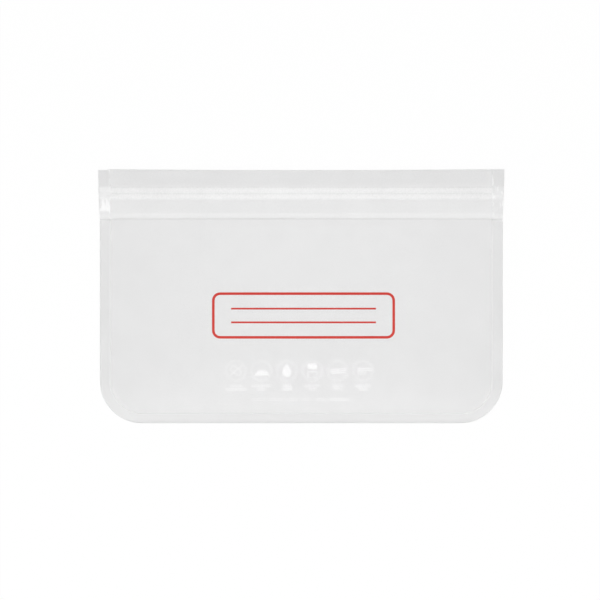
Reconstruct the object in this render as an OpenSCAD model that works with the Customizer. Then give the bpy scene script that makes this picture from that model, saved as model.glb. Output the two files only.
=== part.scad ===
// Reusable zip-top storage bag of two frosted films, lying on its back film.
// Millimetres. X runs along the mouth, Y from the bottom seam to the lips, Z up through the front film.

/* [Bag] */
// Width of the two films
bag_w = 201.6; // [150:0.2:300]
// Height from the bottom edge to the top of the lips
bag_h = 127; // [100:0.5:250]
// Radius of the two bottom corners
corner_r = 21; // [10:0.5:40]
// Width of the welded margin at the sides and bottom
seam_w = 5.4; // [3:0.1:9]
// Width of the melt bead along the margin's inner line
seam_bead_w = 0.8; // [0.4:0.1:2]
// Height of the melt bead above the margin
seam_bead_h = 0.15; // [0.05:0.05:0.4]
// Thickness of one film
film_t = 0.4; // [0.25:0.05:0.6]
// Rise of the front film over the space inside
crown_h = 8; // [5:0.5:18]
// How soon the front film turns up at its edges, 1 is slowest
crown_edge = 0.6; // [0.5:0.05:1]
// Clearance between the front wall, which moves, and the back wall
wall_gap = 0.25; // [0.15:0.05:0.5]

/* [Zip tape] */
// Height of a tape from the top of its lip to its lower edge
tape_h = 25; // [21:0.25:40]
// Thickness of a tape
tape_t = 0.5; // [0.3:0.05:0.9]
// Reach of the tape ends past the film at the lips
tape_over = 0.95; // [0.3:0.05:3]
// How much each tape end draws in by its lower edge
tape_taper = 0.75; // [0:0.05:1.5]
// Height of the lap where film and tape are welded
weld_lap = 2.9; // [1.5:0.1:4]
// Height of the melt bead over the lap
weld_bead_h = 0.15; // [0.05:0.05:0.4]
// Rise of the crushed tracks over the fused tape ends
crush_h = 0.35; // [0.1:0.05:0.6]
// Length of the slope from the tape down to the fused end
crush_slope = 2.5; // [1:0.1:3.5]

/* [Zip tracks] */
// Distance from the top of the lip to the middle of the upper track
track_top = 10.3; // [7:0.05:13]
// Distance between the two tracks
track_pitch = 3.2; // [2.6:0.05:5]
// Rise of the outer face over a track
track_crown_h = 0.15; // [0.05:0.05:0.3]
// Width of that rise
track_crown_w = 2.4; // [1:0.1:2.6]
// Length of a hook rib from the tape to its tip
hook_h = 1.4; // [1.3:0.05:2.2]
// Width of a hook rib's stem
stem_w = 0.44; // [0.3:0.02:0.5]
// Width of a hook rib's head at its shoulders
head_w = 1.04; // [0.9:0.02:1.3]
// Height of that head
head_h = 0.55; // [0.4:0.05:0.7]
// Width of the blunt tip
tip_w = 0.3; // [0.1:0.02:0.5]
// Thickness of a jaw's wall
jaw_wall = 0.35; // [0.25:0.05:0.45]
// Thickness of the web that joins a jaw's two walls
jaw_web = 0.15; // [0.1:0.05:0.3]
// Radius of the round lip at the top of a jaw's wall
jaw_lip_r = 0.2; // [0.14:0.02:0.24]
// Clearance round a hook inside its jaw
snap_gap = 0.12; // [0.08:0.02:0.16]
// Clearance under a hook's tip
tip_gap = 0.2; // [0.1:0.05:0.4]

/* [Hidden] */
$fn = 64;
half_w = bag_w / 2;
y_top = bag_h / 2;
y_low = -bag_h / 2;
y_tape = y_top - tape_h;
y_lap = y_tape + weld_lap;
y_track = [y_top - track_top, y_top - track_top - track_pitch];
// inner line of the side margin, where the fused tape ends also stop
x_in = half_w - seam_w;
zip_half = x_in - wall_gap;
// faces of the two tapes that look at each other
z_back = tape_t;
z_front = tape_t + jaw_web + tip_gap + hook_h;
z_out = z_front + tape_t;
// thickness of the fused ends: both tapes and both films
crush_t = 2 * tape_t + 2 * film_t;
// the back film steps up over the lower edge of its tape
step_l = 3;
step_gap = 0.1;
// edge of the front film
dish_half = x_in - wall_gap;
dish_r = max(corner_r - seam_w - wall_gap, 1);
dish_low = y_low + seam_w + wall_gap;
dish_z = film_t + wall_gap;
// stretch over which the front film climbs from the margin to its tape
climb_l = 16;
arc_rows = 6;
flat_rows = 10;
cols = 24;
rows = arc_rows + flat_rows + 1;
// jaw sizes that follow from the hook
jaw_in = head_w / 2 + snap_gap;
jaw_mouth = stem_w / 2 + snap_gap;
z_shoulder = z_front - hook_h + head_h;
z_jaw_lip = z_shoulder + snap_gap + jaw_lip_r;
eps = 0.01;

film_colour = [0.86, 0.87, 0.87];
weld_colour = [0.80, 0.81, 0.81];
tape_colour = [0.83, 0.84, 0.84];
track_colour = [0.95, 0.95, 0.95];

// Flat outline of the films, drawn in by a margin, up to the given height.
module outline(inset, top) {
  w = half_w - inset;
  r = max(corner_r - inset, 1);
  low = y_low + inset;
  translate([-w, low + r])
    square([2 * w, top - low - r]);
  translate([-w + r, low])
    square([2 * w - 2 * r, r + eps]);
  for (side = [-1, 1])
    translate([side * (w - r), low + r])
      circle(r);
}

// A shape in the Y-Z plane, drawn out along the mouth to both sides.
module along_mouth(half_l) {
  rotate([90, 0, 90])
    translate([0, 0, -half_l])
      linear_extrude(2 * half_l)
        children();
}

// Side view of a sheet that lies flat and then steps up over the back tape's lower edge.
module stepped_sheet(z, t, top) {
  rise = z_back;
  foot = y_tape - step_gap - step_l;
  head = y_tape - step_gap;
  polygon([
    [y_low, z], [foot, z], [head, z + rise], [top, z + rise],
    [top, z + rise + t], [head, z + rise + t], [foot, z + t], [y_low, z + t]
  ]);
}

// Bottom of the front film at place x, y: a climb to the tape and a crown between the edges.
function half_at(j) = j < arc_rows ? dish_half - dish_r + dish_r * sin(90 * j / arc_rows) : dish_half;
function y_at(j) = j < arc_rows ? dish_low + dish_r * (1 - cos(90 * j / arc_rows))
  : j < rows ? dish_low + dish_r + (y_tape - dish_low - dish_r) * (j - arc_rows) / flat_rows
  : y_lap;
function ease(s) = s <= 0 ? 0 : s >= 1 ? 1 : s * s * (3 - 2 * s);
function across(i) = -cos(180 * i / cols);
function swell(u) = abs(u) >= 1 ? 0 : pow(1 - u * u, crown_edge);
function under(i, j) = dish_z
  + (z_front - film_t - dish_z) * ease((y_at(j) - y_tape + climb_l) / climb_l)
  + crown_h * swell(across(i)) * swell(2 * (y_at(j) - dish_low) / (y_tape - dish_low) - 1);

module front_film() {
  across_n = cols + 1;
  count = across_n * (rows + 1);
  low = [for (j = [0:rows]) for (i = [0:cols]) [across(i) * half_at(j), y_at(j), under(i, j)]];
  high = [for (p = low) p + [0, 0, film_t]];
  // two triangles of one cell, with the diagonal mirrored about the middle
  function cell(a, b, c, d, flip) = flip ? [[a, d, b], [b, d, c]] : [[a, d, c], [a, c, b]];
  tops = [for (j = [0:rows - 1]) for (i = [0:cols - 1])
    let (k = j * across_n + i)
      each cell(k, k + 1, k + 1 + across_n, k + across_n, i < cols / 2)];
  bases = [for (t = tops) [t[2], t[1], t[0]]];
  lid = [for (t = tops) [t[0] + count, t[1] + count, t[2] + count]];
  // the cut edge of the film, round the whole outline
  ring = concat(
    [for (i = [0:cols - 1]) i],
    [for (j = [0:rows - 1]) j * across_n + cols],
    [for (i = [0:cols - 1]) rows * across_n + cols - i],
    [for (j = [0:rows - 1]) (rows - j) * across_n]
  );
  n = len(ring);
  edge = [for (k = [0:n - 1])
    let (a = ring[k], b = ring[(k + 1) % n])
      each [[a, a + count, b], [b, a + count, b + count]]];
  color(film_colour)
    polyhedron(concat(low, high), concat(bases, lid, edge));
}

module back_film() {
  color(film_colour)
    intersection() {
      along_mouth(half_w)
        stepped_sheet(0, film_t, y_lap);
      linear_extrude(z_out)
        outline(0, y_lap);
    }
}

// Front film's edge, fused to the back film, with the melt bead on its inner line.
module rim_weld() {
  color(weld_colour) {
    intersection() {
      along_mouth(half_w)
        stepped_sheet(film_t, film_t, y_lap);
      linear_extrude(z_out)
        difference() {
          outline(0, y_lap);
          outline(seam_w, y_lap + 1);
        }
    }
    intersection() {
      along_mouth(half_w)
        stepped_sheet(2 * film_t - eps, seam_bead_h + eps, y_tape);
      linear_extrude(z_out)
        difference() {
          outline(seam_w - seam_bead_w, y_tape);
          outline(seam_w, y_tape + 1);
        }
    }
  }
}

module back_zip_tape() {
  color(tape_colour)
    along_mouth(x_in)
      translate([y_tape, 0])
        square([tape_h, tape_t]);
}

// The tape's outer face swells over each track and over the weld to the film.
module front_zip_tape() {
  crown_r = (pow(track_crown_w / 2, 2) + pow(track_crown_h, 2)) / (2 * track_crown_h);
  bead_r = (pow(weld_lap / 2, 2) + pow(weld_bead_h, 2)) / (2 * weld_bead_h);
  color(tape_colour)
    along_mouth(zip_half) {
      translate([y_tape, z_front])
        square([tape_h, tape_t]);
      for (y = y_track)
        intersection() {
          translate([y, z_out + track_crown_h - crown_r])
            circle(crown_r);
          translate([y - track_crown_w / 2, z_out - eps])
            square([track_crown_w, track_crown_h + 2 * eps]);
        }
      intersection() {
        translate([y_tape + weld_lap / 2, z_out + weld_bead_h - bead_r])
          circle(bead_r);
        translate([y_tape, z_out - eps])
          square([weld_lap, weld_bead_h + 2 * eps]);
      }
    }
}

// Arrow-headed rib that presses into a jaw.
module hook_rib(y) {
  color(track_colour)
    along_mouth(zip_half)
      polygon([
        [y - stem_w / 2, z_front], [y - stem_w / 2, z_shoulder], [y - head_w / 2, z_shoulder],
        [y - tip_w / 2, z_front - hook_h], [y + tip_w / 2, z_front - hook_h],
        [y + head_w / 2, z_shoulder], [y + stem_w / 2, z_shoulder], [y + stem_w / 2, z_front]
      ]);
}

// Pair of walls with round lips that close over the hook's shoulders.
module jaw_track(y) {
  color(track_colour)
    along_mouth(x_in) {
      translate([y - jaw_in - eps, z_back])
        square([2 * jaw_in + 2 * eps, jaw_web]);
      for (side = [-1, 1]) {
        translate([y + side * (jaw_in + jaw_wall / 2) - jaw_wall / 2, z_back])
          square([jaw_wall, z_jaw_lip - z_back]);
        translate([y + side * (jaw_mouth + jaw_lip_r), z_jaw_lip])
          circle(jaw_lip_r);
        translate([y + side * (jaw_in + jaw_wall - jaw_lip_r), z_jaw_lip])
          circle(jaw_lip_r);
        translate([y + side * (jaw_mouth + jaw_in + jaw_wall) / 2 - jaw_wall / 4, z_jaw_lip - jaw_lip_r])
          square([jaw_wall / 2, 2 * jaw_lip_r]);
      }
    }
}

module upper_jaw_track() {
  jaw_track(y_track[0]);
}

module lower_jaw_track() {
  jaw_track(y_track[1]);
}

module upper_hook_rib() {
  hook_rib(y_track[0]);
}

module lower_hook_rib() {
  hook_rib(y_track[1]);
}

// Tapes and tracks pressed into one flat end, with the films' margins held in a slot at its foot.
module zip_end() {
  x_top = half_w + tape_over;
  x_foot = x_top - tape_taper;
  crush_r = (pow(jaw_in + jaw_wall, 2) + pow(crush_h, 2)) / (2 * crush_h);
  color(weld_colour)
    difference() {
      intersection() {
        union() {
          translate([0, y_top, 0])
            rotate([90, 0, 0])
              linear_extrude(tape_h)
                polygon([
                  [x_in, 0], [x_top, 0], [x_top, crush_t], [x_in + crush_slope, crush_t], [x_in, z_out]
                ]);
          for (y = y_track)
            translate([x_in, y, crush_t + crush_h - crush_r])
              rotate([0, 90, 0])
                cylinder(r = crush_r, h = x_top - x_in);
        }
        linear_extrude(z_out + 1)
          polygon([[x_in, y_tape], [x_foot, y_tape], [x_top, y_top], [x_in, y_top]]);
      }
      translate([x_in - 1, y_tape - 1, z_back])
        cube([half_w - x_in + 1, weld_lap + 1, 2 * film_t]);
    }
}

module right_zip_end() {
  zip_end();
}

module left_zip_end() {
  mirror([1, 0, 0])
    zip_end();
}

back_film();
rim_weld();
back_zip_tape();
upper_jaw_track();
lower_jaw_track();
left_zip_end();
right_zip_end();
front_film();
front_zip_tape();
upper_hook_rib();
lower_hook_rib();
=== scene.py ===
"""Dressed scene of a reusable zip-top storage bag of frosted film.

The bag lies on its back film. X runs along the mouth, Y from the bottom seam to the lips and Z up
through the front film, in metres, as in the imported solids.
"""

import logging
import math
from contextlib import contextmanager
from dataclasses import dataclass, field
from enum import Enum
from typing import Callable, Iterator, Sequence

import bpy
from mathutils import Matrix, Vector, noise
from mathutils.kdtree import KDTree


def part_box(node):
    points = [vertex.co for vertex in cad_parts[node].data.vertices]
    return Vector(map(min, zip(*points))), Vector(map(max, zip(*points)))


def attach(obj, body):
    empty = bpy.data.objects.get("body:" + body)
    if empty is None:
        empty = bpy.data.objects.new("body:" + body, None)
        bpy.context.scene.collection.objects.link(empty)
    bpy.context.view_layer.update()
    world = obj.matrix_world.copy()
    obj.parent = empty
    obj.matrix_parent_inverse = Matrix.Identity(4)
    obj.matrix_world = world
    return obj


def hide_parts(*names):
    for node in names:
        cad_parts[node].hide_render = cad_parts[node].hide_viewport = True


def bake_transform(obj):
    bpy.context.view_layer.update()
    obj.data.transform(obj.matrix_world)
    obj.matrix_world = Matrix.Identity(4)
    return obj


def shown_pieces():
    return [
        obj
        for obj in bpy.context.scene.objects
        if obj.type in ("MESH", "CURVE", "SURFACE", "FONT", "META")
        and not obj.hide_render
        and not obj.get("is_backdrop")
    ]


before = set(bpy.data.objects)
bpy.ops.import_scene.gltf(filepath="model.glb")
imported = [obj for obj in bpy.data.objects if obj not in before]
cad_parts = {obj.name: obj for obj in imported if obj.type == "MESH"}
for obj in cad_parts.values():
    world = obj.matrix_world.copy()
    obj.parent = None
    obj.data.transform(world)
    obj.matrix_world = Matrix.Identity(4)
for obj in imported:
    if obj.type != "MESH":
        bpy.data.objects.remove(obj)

log = logging.getLogger("bag")
MM = 0.001
LIT_MIDDLE_REACH = 100.0 * MM  # distance from the middle line at which the painted light along a film's middle line has faded out
EDGE_FROM = 0.999  # where a sheet's edge begins on its flat grid, which ends at 1
THINNEST = 0.2  # share of a sheet's thickness that is left in a weld
INK_T = 0.03 * MM
INK_PITCH = 1.5 * MM  # between the cuts that let a print follow its film
WHITE = (1.0, 1.0, 1.0, 1.0)
Triple = tuple[float, float, float]
Bands = tuple[tuple[float, float], ...]
Piece = bpy.types.Object
Socket = bpy.types.NodeSocket


class Body(Enum):
    """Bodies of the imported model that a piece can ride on."""

    BACK = "back_wall"
    FRONT = "front_wall"


class Slot(Enum):
    """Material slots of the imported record."""

    FILM = "film"
    WELD = "weld"
    TAPE = "tape"
    TRACK = "track"


@dataclass(frozen=True)
class BagSizes:
    """Sizes that the pieces share, in metres.

    The step is where the back film climbs onto the back tape: how far below the tape's lower edge it
    starts, and its length. The fused gap lies between pieces that are one on the real bag.
    """

    half_w: float
    y_low: float
    y_tape: float
    y_lap: float
    y_top: float
    x_in: float
    x_end: float
    z_front: float
    z_crown: float
    tracks: tuple[float, float]
    film_t: float = 0.4 * MM
    tape_t: float = 0.5 * MM
    seam_w: float = 5.4 * MM
    corner_r: float = 21.0 * MM
    step_start: float = 3.1 * MM
    step_run: float = 3.0 * MM
    fused: float = 0.02 * MM
    # Width of the painted highlight inside a zip end's weld line.
    end_highlight_width: float = 0.3 * MM

    @classmethod
    def from_frame(cls) -> "BagSizes":
        """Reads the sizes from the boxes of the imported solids.

        Returns:
            The bag's sizes.
        """
        film_low, film_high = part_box("back_film")
        tape_low, tape_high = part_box("front_zip_tape")
        end_low, end_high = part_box("right_zip_end")
        ribs = [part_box(node) for node in ("upper_hook_rib", "lower_hook_rib")]
        return cls(
            half_w=film_high.x,
            y_low=film_low.y,
            y_tape=tape_low.y,
            y_lap=film_high.y,
            y_top=tape_high.y,
            x_in=end_low.x,
            x_end=end_high.x,
            z_front=tape_low.z,
            z_crown=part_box("front_film")[1].z,
            tracks=tuple(0.5 * (low.y + high.y) for low, high in ribs),
        )

    @property
    def z_out(self) -> float:
        """Outer face of the front tape."""
        return self.z_front + self.tape_t

    @property
    def strip_end(self) -> float:
        """Distance from the middle line to the ends of the tapes and ribs."""
        return self.x_in - self.fused

    @property
    def highlight_from(self) -> float:
        """Distance from the middle line to the start of the painted highlight along the weld line."""
        return self.x_in - self.end_highlight_width

    def half_at(self, y: float, inset: float) -> float:
        """Half width of the outline at a height.

        Args:
            y: Height on the bag.
            inset: How far the outline is drawn in from the films' edge.

        Returns:
            Distance from the middle line to the outline.
        """
        radius = self.corner_r - inset
        rise = max(y - self.y_low - inset, 0.0)
        straight = self.half_w - inset
        if rise >= radius:
            return straight
        return straight - radius + math.sqrt(radius**2 - (radius - rise) ** 2)

    def row_height(self, share: float, inset: float, top: float, arc_share: float = 0.2) -> float:
        """Height of a sheet's row: by equal angles up the corner's arc, then by equal steps.

        Args:
            share: Place of the row between the sheet's foot, 0, and its top, 1.
            inset: How far the sheet is drawn in from the films' edge.
            top: Height of the sheet's top edge.
            arc_share: Share of the rows that lie beside the corner's arc.

        Returns:
            The row's height on the bag.
        """
        radius = self.corner_r - inset
        foot = self.y_low + inset
        if share < arc_share:
            return foot + radius * (1.0 - math.cos(0.5 * math.pi * share / arc_share))
        above_arc = (share - arc_share) / (1.0 - arc_share)
        return foot + radius + (top - foot - radius) * above_arc

    def step_up(self, y: float) -> float:
        """Height by which the back film and margin step up over the back tape's lower edge."""
        return self.tape_t * ease((y - self.y_tape + self.step_start) / self.step_run)


def ease(share: float) -> float:
    """Smooth step from 0 to 1."""
    share = min(max(share, 0.0), 1.0)
    return share * share * (3.0 - 2.0 * share)


def swell(place: float, power: float = 1.0) -> float:
    """Rise of a slack film at a place from -1, one edge, to 1, the other."""
    return max(1.0 - place * place, 0.0) ** power


def ripple(x: float, y: float, layer: float = 0.0) -> float:
    """Smooth noise from -1 to 1 on a layer of its own."""
    return noise.noise(Vector((x, y, layer)))


def grey(level: float) -> Triple:
    """Neutral colour of a level."""
    return level, level, level


def above(datum: float, *shares: tuple[float, float]) -> Bands:
    """Turns shares of a tint at millimetres above a height into bands of a finish."""
    return tuple((datum + rise * MM, share) for rise, share in shares)


def clear_selection() -> None:
    """Leaves object mode's selection empty, so that an operator acts on new pieces alone."""
    if bpy.context.object and bpy.context.object.mode != "OBJECT":
        bpy.ops.object.mode_set(mode="OBJECT")
    bpy.ops.object.select_all(action="DESELECT")


def pick(piece: Piece) -> None:
    """Makes one piece the only selected and active one.

    Args:
        piece: The piece.
    """
    clear_selection()
    piece.select_set(True)
    bpy.context.view_layer.objects.active = piece


@contextmanager
def editing(piece: Piece) -> Iterator[None]:
    """Holds one mesh in edit mode with everything selected.

    Args:
        piece: The mesh object.

    Returns:
        A context that ends in object mode.
    """
    pick(piece)
    bpy.ops.object.mode_set(mode="EDIT")
    bpy.ops.mesh.select_all(action="SELECT")
    yield
    bpy.ops.object.mode_set(mode="OBJECT")


def rename(piece: Piece, name: str) -> Piece:
    """Names a piece and its mesh, and returns the piece."""
    piece.name = piece.data.name = name
    return piece


def reshape(piece: Piece, place: Callable[[Vector], Sequence[float]]) -> None:
    """Moves every point of a mesh.

    Args:
        piece: The mesh object.
        place: Gives a point's new place from its old one.
    """
    for vertex in piece.data.vertices:
        vertex.co = place(vertex.co)
    piece.data.update()


def apply_modifier(piece: Piece, kind: str, **settings: object) -> None:
    """Adds a modifier with its settings and applies it.

    Args:
        piece: The mesh object.
        kind: Blender's name of the modifier type.
        settings: Values of the modifier's properties.
    """
    modifier = piece.modifiers.new(kind.title(), kind)
    for key, value in settings.items():
        setattr(modifier, key, value)
    pick(piece)
    bpy.ops.object.modifier_apply(modifier=modifier.name)


def smooth(piece: Piece, degrees: float = 40.0) -> None:
    """Shades a piece smooth, apart from edges sharper than an angle."""
    pick(piece)
    bpy.ops.object.shade_smooth_by_angle(angle=math.radians(degrees))


def thicken(piece: Piece, thickness: float, thin: Callable[[Vector], float]) -> None:
    """Gives a sheet its thickness on the upper side, thinner where it melts into a weld, and smooths it.

    Args:
        piece: The sheet.
        thickness: Its full thickness.
        thin: Says at a point where, from 0 for the thinnest to 1 for the full, its thickness lies.
    """
    group = piece.vertex_groups.new(name="thickness")
    for vertex in piece.data.vertices:
        group.add([vertex.index], thin(vertex.co), "REPLACE")
    apply_modifier(
        piece,
        "SOLIDIFY",
        thickness=thickness,
        offset=1.0,
        vertex_group=group.name,
        thickness_vertex_group=THINNEST,
    )
    piece.vertex_groups.clear()
    smooth(piece)


def outward(piece: Piece) -> None:
    """Turns all faces of a closed piece outwards."""
    with editing(piece):
        bpy.ops.mesh.normals_make_consistent(inside=False)


def grid_sheet(name: str, columns: int, rows: int) -> Piece:
    """Adds a flat grid from -1 to 1 each way, to be laid into its place.

    Args:
        name: Name of the piece.
        columns: Cells along X.
        rows: Cells along Y.

    Returns:
        The new mesh object.
    """
    clear_selection()
    bpy.ops.mesh.primitive_grid_add(x_subdivisions=columns, y_subdivisions=rows, size=2.0)
    return rename(bpy.context.object, name)


def extruded_strip(
    name: str, profile: Sequence[tuple[float, float]], x_from: float, x_to: float, steps: int
) -> Piece:
    """Extrudes a closed profile along the mouth in even steps, so that the strip can bow.

    Args:
        name: Name of the piece.
        profile: Points of the profile as (y, z), in order.
        x_from: Where the strip starts.
        x_to: Where it ends.
        steps: Number of steps between them.

    Returns:
        The new closed mesh object.
    """
    clear_selection()
    bpy.ops.mesh.primitive_circle_add(vertices=len(profile), radius=1.0, fill_type="NGON")
    strip = rename(bpy.context.object, name)
    for vertex, (y, z) in zip(strip.data.vertices, profile):
        vertex.co = (x_from, y, z)
    pitch = (x_to - x_from) / steps
    with editing(strip):
        for _ in range(steps):
            bpy.ops.mesh.extrude_region_move(TRANSFORM_OT_translate={"value": (pitch, 0.0, 0.0)})
    outward(strip)
    return strip


class Nodes:
    """Short hand for wiring one node tree."""

    def __init__(self, tree: bpy.types.NodeTree) -> None:
        """Takes the tree to add to."""
        self.tree = tree

    def add(self, kind: str, **settings: object) -> bpy.types.Node:
        """Adds a node.

        Args:
            kind: Blender's node type.
            settings: Node properties, and a value or an output for each input of that name.

        Returns:
            The new node.
        """
        node = self.tree.nodes.new(kind)
        for key, value in settings.items():
            if hasattr(node, key):
                setattr(node, key, value)
            else:
                self.feed(node.inputs[key.replace("_", " ")], value)
        return node

    def feed(self, target: Socket, value: object) -> None:
        """Links an output to an input, or sets the input to a value.

        Args:
            target: The input.
            value: The output or the value.
        """
        if isinstance(value, Socket):
            self.tree.links.new(value, target)
        else:
            target.default_value = value

    def math(self, operation: str, *terms: Socket | float) -> Socket:
        """Adds one sum.

        Args:
            operation: Blender's name of the operation.
            terms: Outputs or numbers to work on.

        Returns:
            The result's output.
        """
        node = self.add("ShaderNodeMath", operation=operation)
        for target, term in zip(node.inputs, terms):
            self.feed(target, term)
        return node.outputs[0]

    def noise(self, **settings: object) -> Socket:
        """Adds a noise and gives its level."""
        return self.add("ShaderNodeTexNoise", **settings).outputs["Fac"]

    def span(self, value: Socket, low: float, high: float, **settings: object) -> Socket:
        """Adds a map of a value's span onto 0 to 1, or onto what the settings say."""
        node = self.add("ShaderNodeMapRange", Value=value, From_Min=low, From_Max=high, **settings)
        return node.outputs["Result"]

    def window(self, value: Socket, low: float, high: float, soft: float) -> Socket:
        """Adds a mask that is 1 between two values and falls softly to 0 outside them.

        Args:
            value: The output to look at.
            low: Lower end of the window.
            high: Upper end of the window.
            soft: Width over which the mask falls.

        Returns:
            The mask's output.
        """
        rise = self.span(value, low - soft, low, interpolation_type="SMOOTHSTEP")
        fall = self.span(value, high + soft, high, interpolation_type="SMOOTHSTEP")
        return self.math("MULTIPLY", rise, fall)

    def place(self) -> Socket:
        """Adds the object's own coordinates."""
        return self.add("ShaderNodeTexCoord").outputs["Object"]

    def axis(self, place: Socket, name: str) -> Socket:
        """Adds a split of a place and gives its X, Y or Z."""
        return self.add("ShaderNodeSeparateXYZ", Vector=place).outputs[name]


def frost_group() -> bpy.types.NodeTree:
    """Builds the frosting that every film of the bag shares, once, with painted light that lifts a
    film's tint along the bag's middle line.

    Returns:
        A shader group with inputs Tint, Mottle, the middle line's share of painted light, Roughness and
        Grain, and outputs Color, Roughness and Height.
    """
    if "frost" in bpy.data.node_groups:
        return bpy.data.node_groups["frost"]
    tree = bpy.data.node_groups.new("frost", "ShaderNodeTree")
    for way, kind, labels in (
        ("INPUT", "NodeSocketColor", ("Tint",)),
        ("INPUT", "NodeSocketFloat", ("Mottle", "Middle", "Roughness", "Grain")),
        ("OUTPUT", "NodeSocketColor", ("Color",)),
        ("OUTPUT", "NodeSocketFloat", ("Roughness", "Height")),
    ):
        for label in labels:
            tree.interface.new_socket(label, in_out=way, socket_type=kind)
    nodes = Nodes(tree)
    source = nodes.add("NodeGroupInput").outputs
    place = nodes.place()
    clouds = nodes.noise(Vector=place, Scale=85.0, Detail=3.0, Roughness=0.55)
    grain = nodes.noise(Vector=place, Scale=source["Grain"], Detail=2.0, Roughness=0.6)
    crisp = nodes.span(grain, 0.3, 0.7)
    uneven = nodes.math("MULTIPLY", nodes.math("ADD", clouds, crisp), source["Mottle"])
    # Painted light: the tint is lifted along the bag's middle line and fades out towards the sides.
    aside = nodes.math("DIVIDE", nodes.axis(place, "X"), LIT_MIDDLE_REACH)
    painted_light = nodes.math("SUBTRACT", 1.0, nodes.math("MULTIPLY", aside, aside))
    level = nodes.math("MULTIPLY_ADD", painted_light, source["Middle"], 1.0)
    level = nodes.math("SUBTRACT", level, uneven)
    tone = nodes.add("ShaderNodeVectorMath", operation="SCALE", Vector=source["Tint"], Scale=level)
    matt_swing = 0.12
    matt = nodes.math("MULTIPLY_ADD", clouds, matt_swing, source["Roughness"])
    nodes.add("NodeGroupOutput", Color=tone.outputs["Vector"], Roughness=matt, Height=grain)
    return tree


@dataclass(frozen=True)
class FrostedFinish:
    """See-through film with a frosted face: light passes it, and what lies behind it blurs.

    The middle value is painted light: how much lighter the film is made on the bag's middle line than at
    its sides.
    """

    name: str
    tint: Triple
    roughness: float = 0.42
    mottle: float = 0.03
    middle: float = 0.0
    grain: float = 1300.0
    relief: float = 0.008 * MM
    transmission: float = 1.0
    ior: float = 1.25

    def tint_source(self, nodes: Nodes) -> Socket | tuple[float, ...]:
        """Gives the tint, or the output that varies it over the piece."""
        return (*self.tint, 1.0)

    def build(self) -> bpy.types.Material:
        """Makes the material.

        Returns:
            The finished material.
        """
        material = bpy.data.materials.new(self.name)
        material.use_nodes = True
        nodes = Nodes(material.node_tree)
        shader = material.node_tree.nodes["Principled BSDF"]
        frost = nodes.add(
            "ShaderNodeGroup",
            node_tree=frost_group(),
            Tint=self.tint_source(nodes),
            Mottle=self.mottle,
            Middle=self.middle,
            Roughness=self.roughness,
            Grain=self.grain,
        )
        height = frost.outputs["Height"]
        bump = nodes.add("ShaderNodeBump", Distance=self.relief, Strength=1.0, Height=height)
        for label, value in (
            ("Base Color", frost.outputs["Color"]),
            ("Roughness", frost.outputs["Roughness"]),
            ("Normal", bump.outputs["Normal"]),
            ("Transmission Weight", self.transmission),
            ("IOR", self.ior),
        ):
            nodes.feed(shader.inputs[label], value)
        return material


@dataclass(frozen=True)
class BandedFinish(FrostedFinish):
    """Frosted film whose tint changes in bands up the bag."""

    bands: Bands = ()

    def tint_source(self, nodes: Nodes) -> Socket:
        """Reads the bands as (height on the bag, share of the tint) along the object's own Y.

        Args:
            nodes: The material's tree.

        Returns:
            The colour output of the band ramp.
        """
        low, high = self.bands[0][0], self.bands[-1][0]
        share_up = nodes.span(nodes.axis(nodes.place(), "Y"), low, high)
        ramp = nodes.add("ShaderNodeValToRGB", Fac=share_up)
        stops = ramp.color_ramp.elements
        while len(stops) < len(self.bands):
            stops.new(1.0)
        for stop, (height, share) in zip(stops, self.bands):
            stop.position = (height - low) / (high - low)
            stop.color = (*(channel * share for channel in self.tint), 1.0)
        return ramp.outputs["Color"]


@dataclass(frozen=True)
class WeldedFinish(BandedFinish):
    """Banded film with a painted highlight along the inner line of its weld, over its bead."""

    # Where and how strongly the painted highlight along the weld's inner line lies.
    line_low: float = 0.925
    line_high: float = 1.0
    line_soft: float = 0.03
    line_share: float = 1.0

    def across(self, nodes: Nodes) -> Socket:
        """Place across the weld: the piece's own V, 0 at its cut edge and 1 at its inner line."""
        return nodes.axis(nodes.add("ShaderNodeUVMap", uv_map="UVMap").outputs["UV"], "Y")

    def highlight_mask(self, nodes: Nodes) -> Socket:
        """Mask of the painted highlight along the weld's inner line."""
        line = nodes.window(self.across(nodes), self.line_low, self.line_high, self.line_soft)
        return nodes.math("MULTIPLY", line, self.line_share)

    def tint_source(self, nodes: Nodes) -> Socket:
        """Adds the painted highlight to the bands.

        Args:
            nodes: The material's tree.

        Returns:
            The colour output.
        """
        mix = nodes.add("ShaderNodeMix", data_type="RGBA")
        factor, bands, white = mix.inputs[0], mix.inputs[6], mix.inputs[7]
        nodes.feed(factor, self.highlight_mask(nodes))
        nodes.feed(bands, super().tint_source(nodes))
        nodes.feed(white, WHITE)
        return mix.outputs[2]


@dataclass(frozen=True)
class ZipFinish(WeldedFinish):
    """Welded film of the zip, with a painted highlight placed by its distance from the bag's middle
    line.
    """

    def across(self, nodes: Nodes) -> Socket:
        """Place across the weld: the distance from the bag's middle line."""
        return nodes.math("ABSOLUTE", nodes.axis(nodes.place(), "X"))


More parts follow.
